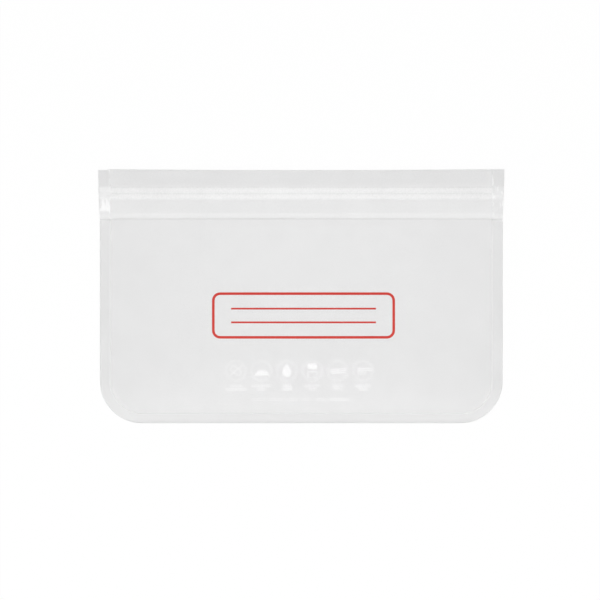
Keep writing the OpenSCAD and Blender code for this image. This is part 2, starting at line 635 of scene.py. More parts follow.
@dataclass(frozen=True)
class CrushedFinish(ZipFinish):
    """Zip film that also carries a patch of painted highlights, glints on its creases.

    The patch's two values give its lower and upper end. The ragged value is the level of the creases
    that stay without a painted glint there, and the fray raises it towards the upper end.
    """

    seed: float = 0.0
    seed_shift: float = 10.0 * MM
    line_wander: float = 3.5 * MM
    crease_rate: Triple = (650.0, 230.0, 1.0)
    ragged: float = 0.5
    ragged_soft: tuple[float, float] = (0.04, 0.05)
    fray: float = 0.0
    glint_patch: tuple[float, float] = (0.0, 1.0)
    glint_soft: float = 1.2 * MM

    def across(self, nodes: Nodes) -> Socket:
        """Adds a wander to the distance from the bag's middle line.

        Args:
            nodes: The material's tree.

        Returns:
            The place's output.
        """
        along = nodes.math("ADD", nodes.axis(nodes.place(), "Y"), self.seed_shift * self.seed)
        wander = nodes.noise(noise_dimensions="1D", W=along, Scale=260.0, Detail=2.0)
        swing = nodes.math("SUBTRACT", wander, 0.5)
        return nodes.math("MULTIPLY_ADD", swing, self.line_wander, super().across(nodes))

    def highlight_mask(self, nodes: Nodes) -> Socket:
        """Mask of the painted highlight along the weld line, broken by creases, and of the patch of
        painted glints.

        Args:
            nodes: The material's tree.

        Returns:
            The mask's output.
        """
        place = nodes.place()
        height = nodes.axis(place, "Y")
        shift = (self.seed, self.seed, 0.0)
        grid = nodes.add("ShaderNodeMapping", Vector=place, Location=shift, Scale=self.crease_rate)
        creases = nodes.noise(
            Vector=grid.outputs["Vector"], Scale=1.0, Detail=3.0, Roughness=0.6, Distortion=0.8
        )
        frayed = nodes.math("SUBTRACT", creases, nodes.span(height, *self.glint_patch, To_Max=self.fray))
        below, beyond = self.ragged_soft
        sharp = nodes.span(frayed, self.ragged - below, self.ragged + beyond)
        # Painted highlights: glints on the creases, within the patch.
        glint_patch = nodes.math("MULTIPLY", nodes.window(height, *self.glint_patch, self.glint_soft), sharp)
        line = nodes.math("MULTIPLY", super().highlight_mask(nodes), creases)
        return nodes.math("MAXIMUM", glint_patch, line)


@dataclass(frozen=True)
class InkFinish(FrostedFinish):
    """Thin printed ink with a slightly uneven lay-down, which no light passes."""

    roughness: float = 0.5
    mottle: float = 0.05
    grain: float = 2500.0
    relief: float = 0.002 * MM
    transmission: float = 0.0
    ior: float = 1.5


def dress(piece: Piece, material: bpy.types.Material) -> None:
    """Gives a piece its one material."""
    piece.data.materials.clear()
    piece.data.materials.append(material)


@dataclass
class SubAssembly:
    """Pieces that are built, dressed and seated together, from the bag's shared sizes."""

    sizes: BagSizes

    def bow_open(self, piece: Piece) -> None:
        """Folds the mesh on its middle line, bakes the piece's transform into it, and unfolds it again.

        Args:
            piece: The finished mesh object, with no parent.
        """
        across = [vertex.co.x for vertex in piece.data.vertices]
        for vertex in piece.data.vertices:
            vertex.co.x = abs(vertex.co.x)
        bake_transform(piece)
        for vertex, x in zip(piece.data.vertices, across):
            vertex.co.x = x
        piece.data.update()

    def seat(
        self,
        piece: Piece,
        material: bpy.types.Material,
        slot: Slot | None = None,
        node: str | None = None,
        bows: bool = False,
    ) -> None:
        """Dresses a finished piece, hides the solid that it replaces, and seats it on the back wall,
        unless it belongs to the front wall, where only its transform is baked.

        Args:
            piece: The mesh object, with no parent.
            material: Its finish.
            slot: Its slot of the record, where the record has one; not used.
            node: The solid that it replaces, where there is one.
            bows: Whether it belongs to the front wall, so that its transform is baked instead of it
                riding on the back wall.
        """
        dress(piece, material)
        if node is not None:
            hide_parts(node)
        if bows:
            self.bow_open(piece)
        else:
            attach(piece, Body.BACK.value)


@dataclass
class FilmBody(SubAssembly):
    """The two films and the welded margin that joins them at the sides and foot.

    The front film's edge climbs to the tape, and both films lap onto it. The drop keeps the welded
    sides clear of the zip ends, and the foot cut draws the front film in round the foot. The melts are
    the lengths over which a piece thins out into a weld.
    """

    columns: int = 96
    rows: int = 64
    seam_cells: int = 3
    margin_cells: tuple[int, int] = (300, 36)
    settle_frames: int = 30
    climb: float = 16.0 * MM
    fullness: float = 0.9
    lap: float = 0.4 * MM
    drop: float = 0.62 * MM
    drop_from: float = 0.9
    foot_cut: float = 0.6 * MM
    edge_wander: float = 0.18 * MM
    edge_rate: float = 22.0
    slack: float = 0.25 * MM
    slack_rate: float = 26.0
    back_melt: float = 2.0 * MM
    front_melt: float = 1.6 * MM
    margin_melt: float = 0.35 * MM
    margin_lift: float = 0.03 * MM
    bead: float = 0.15 * MM
    bead_at: float = 0.925
    dimple: float = 0.03 * MM
    dimple_rate: float = 240.0
    press: float = 0.25 * MM
    press_share: float = 0.07
    back: Piece | None = None
    front: Piece | None = None
    margin: Piece | None = None

    def wander(self, along: float) -> float:
        """Small wander of the cut edge at a place along it."""
        return self.edge_wander * ripple(along * self.edge_rate, 3.7)

    def edge_height(self, y: float) -> float:
        """Height of the front film's inner face along its welded edges."""
        rise = self.sizes.z_front - 2.0 * self.sizes.film_t
        return self.sizes.film_t + rise * ease((y - self.sizes.y_tape + self.climb) / self.climb)

    def build_back(self) -> None:
        """Lays the back film flat, stepped up over the back tape and hardly wavy."""
        sizes = self.sizes
        seam = 1.0 - 2.0 * self.seam_cells / self.columns
        top = sizes.y_tape - self.drop
        beside_end = sizes.x_in - 0.1 * MM

        def lay(point: Vector) -> Triple:
            """Places one point of the grid.

            Args:
                point: The point on the flat grid.

            Returns:
                Its place on the bag.
            """
            share = 0.5 * point.y + 0.5
            y = sizes.row_height(share, 0.0, sizes.y_tape + self.lap)
            inner = sizes.half_at(y, 0.0) - sizes.seam_w
            beyond = (abs(point.x) - seam) / (1.0 - seam)
            reach = inner * abs(point.x) / seam
            if beyond > 0.0:
                reach = inner + (sizes.seam_w + self.wander(y)) * beyond
                y -= (self.lap + self.drop) * ease((share - self.drop_from) / (1.0 - self.drop_from))
            x = math.copysign(reach, point.x)
            free = swell(point.x) * swell(point.y)
            wave = 0.5 + 0.5 * ripple(x * self.slack_rate, y * self.slack_rate, 1.3)
            return x, y, sizes.step_up(y) + self.slack * free * wave

        def thin(point: Vector) -> float:
            """Thins the film beside the zip ends."""
            return ease((top - point.y) / self.back_melt) if abs(point.x) > beside_end else 1.0

        self.back = grid_sheet("back_sheet", self.columns, self.rows)
        reshape(self.back, lay)
        thicken(self.back, sizes.film_t, thin)

    def build_front(self) -> None:
        """Raises the front film over the space inside, and lets it settle as slack film does."""
        sizes = self.sizes
        inset = sizes.seam_w + sizes.fused
        foot = sizes.y_low + inset
        rise = sizes.z_crown - 2.0 * sizes.film_t

        def lay(point: Vector) -> Triple:
            """Places one point of the grid.

            Args:
                point: The point on the flat grid.

            Returns:
                Its place on the bag.
            """
            y = sizes.row_height(0.5 * point.y + 0.5, inset, sizes.y_tape + self.lap)
            x = point.x * sizes.half_at(y, inset)
            upward = 2.0 * (y - foot) / (sizes.y_tape - foot) - 1.0
            bend = (sizes.y_low + sizes.corner_r - y) / (sizes.corner_r - inset)
            y -= self.foot_cut * min(max(bend, 0.0), 1.0)
            crown = rise * swell(point.x, self.fullness) * swell(upward, self.fullness)
            return x, y, self.edge_height(y) + crown

        def thin(point: Vector) -> float:
            """Thins the film towards its welded edge."""
            across = sizes.half_at(point.y, inset) - abs(point.x)
            return ease(min(across, point.y - foot + self.foot_cut) / self.front_melt)

        self.front = grid_sheet("front_sheet", self.columns, self.rows)
        points = self.front.data.vertices
        edge = {v.index for v in points if max(abs(v.co.x), abs(v.co.y)) > EDGE_FROM}
        reshape(self.front, lay)
        self.settle(edge)
        apply_modifier(self.front, "SUBSURF", levels=1, render_levels=1)
        thicken(self.front, sizes.film_t, thin)

    def settle(self, edge: set[int]) -> None:
        """Runs the front film as cloth, held at its welds, and keeps it within the solid's crown.

        Args:
            edge: Numbers of the points on the film's edge.
        """
        film = self.front
        held = film.vertex_groups.new(name="welds")
        top = self.sizes.y_tape - 0.2 * MM
        lap = {v.index for v in film.data.vertices if v.co.y > top}
        held.add(sorted(edge | lap), 1.0, "REPLACE")
        cloth = film.modifiers.new("Cloth", "CLOTH")
        setup = cloth.settings
        setup.quality = 8
        setup.mass = 0.2
        setup.tension_stiffness = 60.0
        setup.compression_stiffness = 60.0
        setup.shear_stiffness = 20.0
        setup.bending_stiffness = 4.0
        setup.vertex_group_mass = held.name
        setup.use_pressure = True
        setup.uniform_pressure_force = 0.6
        setup.effector_weights.gravity = 0.0
        scene = bpy.context.scene
        for step in range(self.settle_frames):
            scene.frame_set(step + 1)
        pick(film)
        bpy.ops.object.modifier_apply(modifier=cloth.name)
        scene.frame_set(1)
        film.vertex_groups.clear()
        limit = self.sizes.z_crown - self.sizes.film_t
        highest = max(v.co.z for v in film.data.vertices)
        log.info("front film settled at %.2f mm, solid %.2f mm", highest / MM, limit / MM)
        for vertex in film.data.vertices:
            base = self.edge_height(vertex.co.y)
            share = (limit - base) / (highest - base) if highest > limit else 1.0
            vertex.co.z = base + max(vertex.co.z - base, 0.0) * share

    def rim_point(self, along: float) -> tuple[Vector, Vector]:
        """Follows the films' edge from the top left, round the foot, to the top right.

        Args:
            along: Place on the way, from 0 to 1.

        Returns:
            The point on the edge and the outward direction there.
        """
        sizes = self.sizes
        radius = sizes.corner_r
        top = sizes.y_tape - self.drop
        side = top - sizes.y_low - radius
        foot = 2.0 * (sizes.half_w - radius)
        arc = 0.5 * math.pi * radius
        way = along * (2.0 * side + 2.0 * arc + foot)
        mirror = way > side + arc + 0.5 * foot
        if mirror:
            way = 2.0 * side + 2.0 * arc + foot - way
        if way <= side:
            point, normal = Vector((-sizes.half_w, top - way, 0.0)), Vector((-1.0, 0.0, 0.0))
        elif way <= side + arc:
            turn = (way - side) / radius
            normal = Vector((-math.cos(turn), -math.sin(turn), 0.0))
            point = Vector((radius - sizes.half_w, sizes.y_low + radius, 0.0)) + normal * radius
        else:
            point = Vector((radius - sizes.half_w + way - side - arc, sizes.y_low, 0.0))
            normal = Vector((0.0, -1.0, 0.0))
        if mirror:
            point.x, normal.x = -point.x, -normal.x
        return point, normal

    def build_margin(self) -> None:
        """Bends a band round the sides and foot, pressed flat, with a melt bead inside."""
        sizes = self.sizes
        welded_from, crowding = 0.96, 1.3

        def lay(point: Vector) -> Triple:
            """Places one point of the grid.

            Args:
                point: The point on the flat grid.

            Returns:
                Its place on the bag.
            """
            edge, normal = self.rim_point(0.5 * point.x + 0.5)
            share = (0.5 * point.y + 0.5) ** crowding
            wide = sizes.seam_w - self.foot_cut * normal.y**2
            spot = edge + normal * (self.wander(edge.y) * abs(normal.x) - wide * share)
            bead = self.bead * swell((share - self.bead_at) / (1.0 - self.bead_at))
            rate = self.dimple_rate
            dimple = self.dimple * ripple(spot.x * rate, spot.y * rate, 9.0) * swell(2.0 * share - 1.0)
            pressed = dimple - self.press * ease(1.0 - share / self.press_share)
            height = sizes.film_t + self.margin_lift + sizes.step_up(spot.y)
            return spot.x, spot.y, height + bead + pressed

        self.margin = grid_sheet("seam_margin", *self.margin_cells)
        points = self.margin.data.vertices
        inner = {v.index for v in points if v.co.y > welded_from or abs(v.co.x) > EDGE_FROM}
        reshape(self.margin, lay)
        tree = KDTree(len(inner))
        for number in inner:
            tree.insert(points[number].co, number)
        tree.balance()
        thicken(self.margin, sizes.film_t, lambda point: ease(tree.find(point)[2] / self.margin_melt))

    def finishes(self) -> tuple[FrostedFinish, FrostedFinish, FrostedFinish]:
        """Finishes of the back film, the front film and the margin.

        The back film carries painted light, lighter near the bottom seam, and the front film carries
        painted light along the bag's middle. The margin has painted shade along its bottom edge and a
        painted highlight on its inner line, over its bead.

        Returns:
            The three finishes, in that order.
        """
        # Painted light and shade up the back film: lighter near the bottom seam, darker at middle
        # heights.
        back_painted_light = ((0.0, 1.01), (5.4, 1.023), (12.0, 1.01), (17.0, 0.994), (36.0, 0.987), (52.0, 1.0))
        # Margin shares: painted shade along the bottom edge over its first millimetre, then changes of
        # tint up the sides.
        margin_shade_and_tone = ((0.0, 1.02), (0.9, 1.02), (1.6, 1.068), (15.0, 1.06), (22.0, 1.035), (36.0, 1.065))
        back_light_bands = above(self.sizes.y_low, *back_painted_light, (105.0, 1.0))
        margin_bands = above(self.sizes.y_low, *margin_shade_and_tone, (54.0, 1.015), (102.0, 1.047))
        # The front film's middle share is painted light along the bag's middle line.
        front = FrostedFinish(
            "front_film_frost", grey(0.966), roughness=0.15, middle=0.042, relief=0.004 * MM
        )
        return (
            BandedFinish("back_film_frost", grey(0.88), bands=back_light_bands),
            front,
            # The margin's line, on its bead, is a painted highlight.
            WeldedFinish("welded_margin_frost", grey(0.93), relief=0.02 * MM, bands=margin_bands),
        )

    def build(self) -> None:
        """Builds, dresses and seats the three pieces."""
        self.build_back()
        self.build_front()
        self.build_margin()
        back, front, margin = self.finishes()
        self.seat(self.back, back.build(), Slot.FILM, "back_film")
        self.seat(self.front, front.build(), Slot.FILM, "front_film", bows=True)
        self.seat(self.margin, margin.build(), Slot.WELD, "rim_weld")

    def declare(self, on_front: Sequence[Piece]) -> None:
        """Does nothing.

        Args:
            on_front: Pieces that lie on the front film; not used.
        """


@dataclass
class ZipStrip(SubAssembly):
    """The two tapes with their lips, the hook ribs and the jaw tracks."""

    steps: int = 96
    face_cells: int = 84
    flat_cells: int = 12
    round_cells: int = 6
    arch_cells: int = 8
    bead: float = 0.15 * MM
    lip_start: float = 1.6 * MM
    lip_flare: float = 0.5 * MM
    lip_sag: float = 0.5 * MM
    lip_rate: float = 18.0
    # Depth of the painted shade line inside the tapes' weld band.
    groove_shade: float = 0.02
    # Depth of the painted shade along the lip's round top edge.
    lip_edge_shade: float = 0.013
    front: Piece | None = None
    back: Piece | None = None
    hooks: list[Piece] = field(default_factory=list)

    def tape_finish(self, name: str, tint: float, mottle: float, shares: Sequence[float]) -> ZipFinish:
        """Finish of a tape in bands: lower edge, weld to the film, field, track bed, shoulder, lip. The
        weld band is a painted highlight along the weld bead, with a thin line of painted shade inside
        it, and the lip's top edge has painted shade.

        Args:
            name: Name of the material.
            tint: Tint of the plain tape.
            mottle: Unevenness of the tint.
            shares: Share of the tint in those six bands.

        Returns:
            The finish.
        """
        sizes = self.sizes
        upper, lower = sizes.tracks
        edge, weld, plain, bed, shoulder, lip = shares
        # Painted shade: a darker line inside the weld band, and a darker rim along the lip's round top
        # edge.
        dark, rim, slope = weld - self.groove_shade, lip - self.lip_edge_shade, lip + 0.35 * (shoulder - lip)
        on_edge = ((0.0, edge), (0.45, edge), (0.8, weld), (1.35, dark), (1.75, weld), (2.4, weld))
        bands = (
            *above(sizes.y_tape, *on_edge, (3.4, plain)),
            *above(lower, (-2.2, plain), (-1.4, bed)),
            *above(upper, (1.3, bed), (1.5, shoulder), (1.75, shoulder), (2.3, slope), (3.8, lip)),
            *above(sizes.y_top, (-1.25, lip), (-0.95, rim), (0.0, rim)),
        )
        return ZipFinish(
            name,
            grey(tint),
            mottle=mottle,
            # The middle share is painted light along the bag's middle line.
            middle=0.01,
            bands=bands,
            # The line values place a soft painted highlight on the tape near the zip's ends.
            line_low=sizes.highlight_from,
            line_high=sizes.x_in,
            line_soft=4.0 * MM,
            line_share=0.22,
        )

    def track_finish(self) -> ZipFinish:
        """Milky finish of the tracks, with painted light and shade across each crown: lightest along its
        back, darker on its flanks and where the two crowns meet, and a painted highlight at both ends.

        Returns:
            The finish.
        """
        upper, lower = self.sizes.tracks
        # Painted light and shade across the crowns: lighter on their backs, darker on their flanks and
        # where they meet.
        bands = (
            *above(lower, (-1.6, 0.93), (-1.15, 0.985), (-0.6, 1.0), (0.3, 1.02), (0.7, 1.015)),
            (0.5 * (upper + lower), 0.965),
            *above(upper, (-1.1, 0.955), (-0.5, 0.995), (0.7, 1.0), (1.6, 0.95)),
        )
        return ZipFinish(
            "track_milk",
            grey(0.936),
            mottle=0.09,
            # The middle share is painted light along the bag's middle line.
            middle=0.05,
            transmission=0.0,
            bands=bands,
            # The line values place a soft painted highlight on the tracks near the zip's ends.
            line_low=self.sizes.highlight_from,
            line_high=self.sizes.x_in,
            line_soft=7.0 * MM,
            line_share=0.3,
        )

    def profile(self, z_low: float, bead: float) -> list[tuple[float, float]]:
        """Section through a tape, with a round lip edge and a bead over the film's lap.

        Args:
            z_low: Height of the tape's lower face.
            bead: Rise of the bead on its upper face.

        Returns:
            Points as (y, z), in order.
        """
        sizes = self.sizes
        half = 0.5 * sizes.tape_t
        half_lap = 0.5 * (sizes.y_lap - sizes.y_tape)
        y_round = sizes.y_top - half
        length = y_round - sizes.y_tape
        points = [(sizes.y_tape + length * k / self.flat_cells, z_low) for k in range(self.flat_cells)]
        for k in range(self.round_cells + 1):
            turn = math.pi * (k / self.round_cells - 0.5)
            points.append((y_round + half * math.cos(turn), z_low + half + half * math.sin(turn)))
        for k in range(self.face_cells):
            y = y_round - length * (k + 1) / self.face_cells
            rise = bead * swell((y - sizes.y_tape - half_lap) / half_lap)
            points.append((y, z_low + sizes.tape_t + rise))
        return points

    def relax_lip(self, piece: Piece, upward: float) -> None:
        """Lets the lip above the tracks flare and its top edge sag a little.

        Args:
            piece: A tape.
            upward: 1 for a lip that lifts off, 0 for one that lies flat.
        """
        sizes = self.sizes
        lip_low = sizes.tracks[0] + self.lip_start

        def lay(point: Vector) -> Triple:
            """Moves one point of the tape.

            Args:
                point: The point on the straight tape.

            Returns:
                Its new place.
            """
            share = ease((point.y - lip_low) / (sizes.y_top - lip_low))
            bow = swell(point.x / sizes.x_in)
            wave = 0.6 + 0.4 * ripple(point.x * self.lip_rate, 5.1)
            lift = upward * self.lip_flare * share * ease(4.0 * bow) * wave
            return point.x, point.y - self.lip_sag * share * bow, point.z + lift

        reshape(piece, lay)

    def build_tapes(self) -> None:
        """Extrudes both tapes from weld to weld."""
        end = self.sizes.strip_end
        front, back = self.profile(self.sizes.z_front, self.bead), self.profile(0.0, 0.0)
        self.front = extruded_strip("front_tape", front, -end, end, self.steps)
        self.back = extruded_strip("back_tape", back, -end, end, self.steps)
        for tape, upward in ((self.front, 1.0), (self.back, 0.0)):
            self.relax_lip(tape, upward)
            smooth(tape)

    def build_hooks(self) -> None:
        """Extrudes the arrow-headed ribs, whose backs show as low crowns on the tape's outer face."""
        sizes = self.sizes
        end = sizes.strip_end
        stem, head, tip, arch, crown_gap = 0.22 * MM, 0.52 * MM, 0.15 * MM, 0.15 * MM, 0.01 * MM
        neck, depth = 0.85 * MM, 1.4 * MM
        barb, nose = (0.06 * MM, 0.1 * MM), (0.05 * MM, 0.03 * MM)
        crown = 0.5 * (sizes.tracks[0] - sizes.tracks[1]) - crown_gap
        shoulder, low = sizes.z_front - neck, sizes.z_front - depth
        shares = [k / self.arch_cells for k in range(self.arch_cells + 1)]
        half = [(crown * share, sizes.z_out + arch * swell(share)) for share in shares]
        half += [(stem, sizes.z_out), (stem, shoulder), (head, shoulder)]
        half += [(head - barb[0], shoulder - barb[1]), (tip + nose[0], low + nose[1]), (tip, low)]
        for label, y in zip(("upper_hook", "lower_hook"), sizes.tracks):
            points = [(y + dy, z) for dy, z in half] + [(y - dy, z) for dy, z in reversed(half[1:])]
            hook = extruded_strip(label, points, -end, end, self.steps)
            smooth(hook, 30.0)
            self.hooks.append(hook)

    def build(self) -> None:
        """Builds, dresses and seats the strip."""
        self.build_tapes()
        self.build_hooks()
        front = self.tape_finish("front_tape_frost", 0.99, 0.06, (1.0, 1.0, 0.985, 1.0, 1.0, 0.963))
        back = self.tape_finish("back_tape_frost", 0.92, 0.02, (1.06, 1.04, 1.0, 1.0, 1.0, 0.966))
        self.seat(self.front, front.build(), Slot.TAPE, "front_zip_tape", bows=True)
        self.seat(self.back, back.build(), Slot.TAPE, "back_zip_tape")
        milk = self.track_finish().build()
        for hook, node in zip(self.hooks, ("upper_hook_rib", "lower_hook_rib")):
            self.seat(hook, milk, Slot.TRACK, node, bows=True)
        for node in ("upper_jaw_track", "lower_jaw_track"):
            dress(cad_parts[node], milk)


@dataclass
class ZipEnd(SubAssembly):
    """One end of the zip, where both tapes and all tracks are crushed into a flat weld.

    The pale values are shares of the tint on the upper track, between the tracks, on the lower track and
    below them. The ragged and fray values, and the two ends of the patch of painted glints, are those of
    the finish. The cut says how much lower the outer part of the top edge lies.
    """

    name: str
    side: int
    seed: float
    pale: tuple[float, float, float, float]
    ragged: float
    glint_patch: tuple[float, float]
    fray: float = 0.0
    cut: float = 0.0
    cut_run: float = 3.0 * MM
    taper: float = 0.75 * MM
    slope: float = 2.5 * MM
    overhang: float = 0.5 * MM
    foot_run: float = 1.3 * MM
    mound: float = 0.35 * MM
    mound_half: float = 1.1 * MM
    edge_wander: float = 0.2 * MM
    edge_rate: float = 160.0
    edge_trim: float = 0.1 * MM
    crease: float = 0.22 * MM
    crease_base: float = 0.25
    crease_y: float = 50.0 * MM
    crease_run: float = 5.0 * MM
    crease_bands: tuple[float, float] = (0.15, 0.1)
    edge_press: float = 0.12 * MM
    press_from: float = 0.85
    rows: int = 96
    columns: int = 22

    def finish(self) -> CrushedFinish:
        """Finish of the end: darkest at the lip, pale where the tracks run through, with a painted
        highlight at the weld bead's height.

        Returns:
            The finish.
        """
        sizes = self.sizes
        upper, lower = sizes.tracks
        on_upper, between, on_lower, below = self.pale
        bands = (
            (sizes.y_tape - self.overhang, 1.0),
            # Painted highlight just above the lower edge, at the weld bead's height, as on the tapes.
            *above(sizes.y_tape, (0.2, 1.0), (0.6, 1.12), (2.2, 1.13), (3.2, below)),
            *above(lower, (-2.2, below), (-0.8, on_lower), (0.4, on_lower)),
            (0.5 * (upper + lower), between),
            *above(upper, (-0.6, on_upper), (0.5, on_upper), (2.6, 1.0)),
            (sizes.y_top, 1.0),
        )
        return CrushedFinish(
            f"{self.name}_frost",
            grey(0.78),
            relief=0.02 * MM,
            bands=bands,
            # The line values place a painted highlight along the end's inner edge.
            line_low=sizes.highlight_from,
            line_high=sizes.x_in + 0.25 * MM,
            line_soft=0.25 * MM,
            line_share=1.7,
            seed=self.seed,
            ragged=self.ragged,
            fray=self.fray,
            glint_patch=self.glint_patch,
        )

    def crinkle(self, x: float, y: float) -> float:
        """Height of the crushed film's creases, from -1 to 1."""
        fine = ripple(x * 700.0, y * 330.0, self.seed)
        return 0.6 * ripple(x * 260.0, y * 150.0, self.seed + 7.0) + 0.4 * fine

    def build(self) -> None:
        """Builds, dresses and seats the end."""
        sizes = self.sizes
        flat = 2.0 * (sizes.tape_t + sizes.film_t)
        low = sizes.y_tape - self.overhang
        inner_band, outer_band = self.crease_bands
        points = [(low, 0.0), (sizes.y_top, 0.0)]
        for k in range(self.rows + 1):
            y = sizes.y_top + (low - sizes.y_top) * k / self.rows
            mounds = sum(self.mound * swell((y - track) / self.mound_half) for track in sizes.tracks)
            points.append((y, flat + mounds))
        piece = extruded_strip(self.name, points, sizes.x_in, sizes.x_end, self.columns)

        def lay(point: Vector) -> Triple:
            """Moves one point of the strip, and crushes its upper face.

            Args:
                point: The point on the straight strip.

            Returns:
                Its place on this side of the bag.
            """
            share = (point.x - sizes.x_in) / (sizes.x_end - sizes.x_in)
            down = (sizes.y_top - point.y) / (sizes.y_top - sizes.y_tape)
            wander = self.edge_wander * ripple(point.y * self.edge_rate, self.seed, 2.0)
            width = sizes.x_end - self.taper * down - sizes.x_in + wander - self.edge_trim
            x = sizes.x_in + share * width
            at_top = ease(1.0 - (sizes.y_top - point.y) / self.cut_run)
            y = point.y - self.cut * ease(2.0 * share) * at_top
            z = point.z
            if z > 0.5 * flat:
                z += (sizes.z_out - flat) * ease(1.0 - (point.x - sizes.x_in) / self.slope)
                zip_zone = math.exp(-(((point.y - self.crease_y) / self.crease_run) ** 2))
                free = ease(share / inner_band) * ease((1.0 - share) / outer_band)
                z += self.crease * (self.crease_base + zip_zone) * free * self.crinkle(x, point.y)
                z -= self.edge_press * ease((share - self.press_from) / (1.0 - self.press_from))
                z -= (z - sizes.film_t) * ease(1.0 - (point.y - low) / self.foot_run)
            return self.side * x, y, z

        reshape(piece, lay)
        outward(piece)
        smooth(piece, 50.0)
        self.seat(piece, self.finish().build(), Slot.WELD, self.name.replace("_weld", "_zip_end"))


class Sign(Enum):
    """Small care signs on the back film, in their order from the left, with their caption strokes."""

    CROSSED = (6.2, 10.8)
    MOUND = (10.0, 4.4)
    DROP = (4.7, 5.9)
    BOX = (7.5, 3.8)
    BAR = (5.2, 5.0)
    TAP = (8.1, 4.3)


class FlatShapes:
    """Collects flat ink shapes, placed in millimetres on the bag, into one piece."""

    def __init__(self, name: str) -> None:
        """Starts an empty print."""
        self.name = name
        self.parts: list[Piece] = []

    def keep(self, x: float, y: float, turn: float, stroke: float) -> Piece:
        """Cuts the newest shape to an outline, moves it to its place and notes it.

        Args:
            x: Place to the right of the bag's middle.
            y: Place above it.
            turn: Turn to the left, in degrees.
            stroke: Width of the outline, or 0 for a full shape.

        Returns:
            The shape.
        """
        part = bpy.context.object
        if stroke:
            with editing(part):
                bpy.ops.mesh.inset(thickness=stroke * MM)
                bpy.ops.mesh.delete(type="FACE")
        part.location = (x * MM, y * MM, 0.0)
        part.rotation_euler = (0.0, 0.0, math.radians(turn))
        pick(part)
        bpy.ops.object.transform_apply(location=True, rotation=True, scale=True)
        self.parts.append(part)
        return part

    def disc(self, radius: float, x: float, y: float, stroke: float = 0.0) -> Piece:
        """Adds a disc, or a ring where it has a stroke.

        Args:
            radius: Outer radius.
            x: Place to the right.
            y: Place above.
            stroke: Width of the ring's line, or 0 for a full disc.

        Returns:
            The shape.
        """
        clear_selection()
        bpy.ops.mesh.primitive_circle_add(vertices=48, radius=radius * MM, fill_type="NGON")
        return self.keep(x, y, 0.0, stroke)

    def bar(
        self,
        size: tuple[float, float],
        x: float,
        y: float,
        turn: float = 0.0,
        round_r: float = 0.0,
        stroke: float = 0.0,
    ) -> None:
        """Adds a bar with round corners, or its outline where it has a stroke.

        Args:
            size: Size to the right and upward.
            x: Place to the right.
            y: Place above.
            turn: Turn to the left, in degrees.
            round_r: Radius of the corners.
            stroke: Width of the outline, or 0 for a full bar.
        """
        clear_selection()
        bpy.ops.mesh.primitive_plane_add(size=1.0)
        with editing(bpy.context.object):
            bpy.ops.transform.resize(value=(size[0] * MM, size[1] * MM, 1.0))
            if round_r:
                bpy.ops.mesh.bevel(offset=round_r * MM, segments=6, affect="VERTICES")
        self.keep(x, y, turn, stroke)

    def join(self) -> Piece:
        """Joins all shapes into one piece and cuts it by even lines, so that it can follow a film.

        Returns:
            The joined mesh object.
        """
        pick(self.parts[0])
        for part in self.parts:
            part.select_set(True)
        bpy.ops.object.join()
        piece = rename(bpy.context.object, self.name)
        spread = [vertex.co for vertex in piece.data.vertices]
        spans = [(min(co[axis] for co in spread), max(co[axis] for co in spread)) for axis in range(2)]
        with editing(piece):
            for (low, high), direction in zip(spans, (Vector((1.0, 0.0, 0.0)), Vector((0.0, 1.0, 0.0)))):
                for k in range(1, int((high - low) / INK_PITCH) + 1):
                    bpy.ops.mesh.select_all(action="SELECT")
                    bpy.ops.mesh.bisect(plane_co=direction * (low + k * INK_PITCH), plane_no=direction)
        return piece


